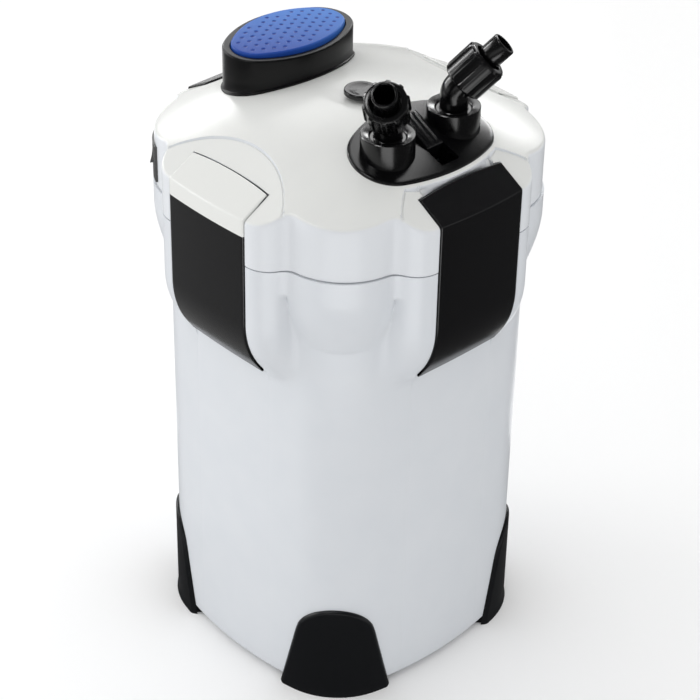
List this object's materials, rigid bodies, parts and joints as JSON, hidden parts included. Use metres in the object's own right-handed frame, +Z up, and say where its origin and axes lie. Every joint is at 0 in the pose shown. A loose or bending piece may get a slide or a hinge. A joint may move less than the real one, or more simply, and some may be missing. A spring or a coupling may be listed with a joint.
{
  "type": "canister filter",
  "caption": "Tall white canister filter with black corner feet, over-centre latches, an oval primer button and a swivelling hose valve block on its domed head.",
  "frame": {"origin": "on the floor, under the middle of the barrel", "axes": "+Z up, +X towards the latch beside the hose valve, -X towards the primer button"},
  "size_m": [0.284, 0.284, 0.5384],
  "materials": {
    "white_abs": "glossy moulded ABS",
    "barrel_abs": "satin moulded ABS",
    "black_abs": "glossy black ABS",
    "foot_rubber": "matt rubbery plastic",
    "blue_button": "soft dimpled plastic",
    "seal_rubber": "soft rubber",
    "steel": "drawn stainless steel",
    "grey_plastic": "grey moulded plastic",
    "quartz": "clear quartz",
    "lamp_glass": "frosted lamp glass",
    "magnet": "sintered ferrite",
    "core_iron": "stamped steel sheets",
    "copper": "lacquered copper winding",
    "ceramic": "white ceramic",
    "coarse_foam": "open cell foam",
    "fine_foam": "fine open cell foam",
    "wool": "polyester filter wool"
  },
  "bodies": {
    "root": {"barrel": "barrel_abs", "basket_lid": "grey_plastic", "ceramic_rings": "ceramic", "coarse_sponge": "coarse_foam", "cord_gland": "black_abs", "cover_screws": "steel", "filter_wool": "wool", "fine_sponge": "fine_foam", "foot_back_left": "foot_rubber", "foot_back_right": "foot_rubber", "foot_front_left": "foot_rubber", "foot_front_right": "foot_rubber", "head_base": "grey_plastic", "head_cover": "white_abs", "head_seal": "seal_rubber", "impeller_cover": "grey_plastic", "impeller_shaft": "ceramic", "intake_pipe": "grey_plastic", "lamp_holder": "grey_plastic", "latch_pins": "steel", "media_basket_1": "grey_plastic", "media_basket_2": "grey_plastic", "media_basket_3": "grey_plastic", "media_basket_4": "grey_plastic", "motor_coils": "copper", "motor_core": "core_iron", "motor_housing": "black_abs", "port_seals": "seal_rubber", "primer_collar": "black_abs", "primer_cylinder": "grey_plastic", "primer_valve": "seal_rubber", "quartz_sleeve": "quartz", "shaft_bushes": "seal_rubber", "switch_plate": "black_abs", "uv_lamp": "lamp_glass", "valve_block": "black_abs"},
    "primer": {"primer_button": "blue_button", "primer_plunger": "grey_plastic", "primer_spring": "steel"},
    "lever": {"valve_lever": "black_abs", "valve_spindle": "grey_plastic"},
    "elbow_in": {"elbow_intake": "black_abs", "elbow_seal_intake": "seal_rubber"},
    "elbow_out": {"elbow_outlet": "black_abs", "elbow_seal_outlet": "seal_rubber"},
    "nut_in": {"hose_nut_intake": "black_abs"},
    "nut_out": {"hose_nut_outlet": "black_abs"},
    "rotor": {"rotor_magnet": "magnet", "impeller": "white_abs"},
    "rocker": {"switch_rocker": "black_abs"},
    "handle_right": {"latch_handle_right": "black_abs"},
    "hook_right": {"latch_hook_right": "black_abs"},
    "handle_back": {"latch_handle_back": "black_abs"},
    "hook_back": {"latch_hook_back": "black_abs"},
    "handle_left": {"latch_handle_left": "black_abs"},
    "hook_left": {"latch_hook_left": "black_abs"},
    "handle_front": {"latch_handle_front": "black_abs"},
    "hook_front": {"latch_hook_front": "black_abs"}
  },
  "joints": [
    {"name": "latch_right", "type": "hinge", "parent": "root", "child": "handle_right", "pos_m": [0.131, 0, 0.434], "axis": [0, -1, 0], "range_deg": [0, 85]},
    {"name": "hook_right_pin", "type": "hinge", "parent": "handle_right", "child": "hook_right", "pos_m": [0.123, 0, 0.433], "axis": [0, -1, 0], "range_deg": [-70, 0]},
    {"name": "latch_back", "type": "hinge", "parent": "root", "child": "handle_back", "pos_m": [0, 0.131, 0.434], "axis": [1, 0, 0], "range_deg": [0, 85]},
    {"name": "hook_back_pin", "type": "hinge", "parent": "handle_back", "child": "hook_back", "pos_m": [0, 0.123, 0.433], "axis": [1, 0, 0], "range_deg": [-70, 0]},
    {"name": "latch_left", "type": "hinge", "parent": "root", "child": "handle_left", "pos_m": [-0.131, 0, 0.434], "axis": [0, 1, 0], "range_deg": [0, 85]},
    {"name": "hook_left_pin", "type": "hinge", "parent": "handle_left", "child": "hook_left", "pos_m": [-0.123, 0, 0.433], "axis": [0, 1, 0], "range_deg": [-70, 0]},
    {"name": "latch_front", "type": "hinge", "parent": "root", "child": "handle_front", "pos_m": [0, -0.131, 0.434], "axis": [-1, 0, 0], "range_deg": [0, 85]},
    {"name": "hook_front_pin", "type": "hinge", "parent": "handle_front", "child": "hook_front", "pos_m": [0, -0.123, 0.433], "axis": [-1, 0, 0], "range_deg": [-70, 0]},
    {"name": "primer_push", "type": "slide", "parent": "root", "child": "primer", "axis": [0, 0, -1], "range_m": [0, 0.01], "stiffness_N_per_m": 700, "springref_m": -0.008, "deforming": ["primer_spring"]},
    {"name": "valve_lever_turn", "type": "hinge", "parent": "root", "child": "lever", "pos_m": [0.075, 0, 0.446], "axis": [0, 1, 0], "range_deg": [0, 72]},
    {"name": "elbow_in_swivel", "type": "hinge", "parent": "root", "child": "elbow_in", "pos_m": [0.075, 0.033, 0.496], "axis": [0, 0, 1], "range_deg": [-50, 70]},
    {"name": "hose_nut_in_spin", "type": "hinge", "parent": "elbow_in", "child": "nut_in", "pos_m": [0.075, 0.033, 0.496], "axis": [0.4465, 0.5321, 0.7193], "continuous": true},
    {"name": "elbow_out_swivel", "type": "hinge", "parent": "root", "child": "elbow_out", "pos_m": [0.075, -0.033, 0.496], "axis": [0, 0, 1], "range_deg": [-70, 50]},
    {"name": "hose_nut_out_spin", "type": "hinge", "parent": "elbow_out", "child": "nut_out", "pos_m": [0.075, -0.033, 0.496], "axis": [0.4465, -0.5321, 0.7193], "continuous": true},
    {"name": "rotor_spin", "type": "hinge", "parent": "root", "child": "rotor", "pos_m": [0, 0, 0.4], "axis": [0, 0, 1], "continuous": true},
    {"name": "switch_rock", "type": "hinge", "parent": "root", "child": "rocker", "pos_m": [-0.10109, -0.10109, 0.419], "axis": [-0.7071, 0.7071, 0], "range_deg": [0, 14]}
  ],
  "couplings": [
    {"joint": "hook_right_pin", "follows": "latch_right", "ratio": -0.8},
    {"joint": "hook_back_pin", "follows": "latch_back", "ratio": -0.8},
    {"joint": "hook_left_pin", "follows": "latch_left", "ratio": -0.8},
    {"joint": "hook_front_pin", "follows": "latch_front", "ratio": -0.8}
  ]
}
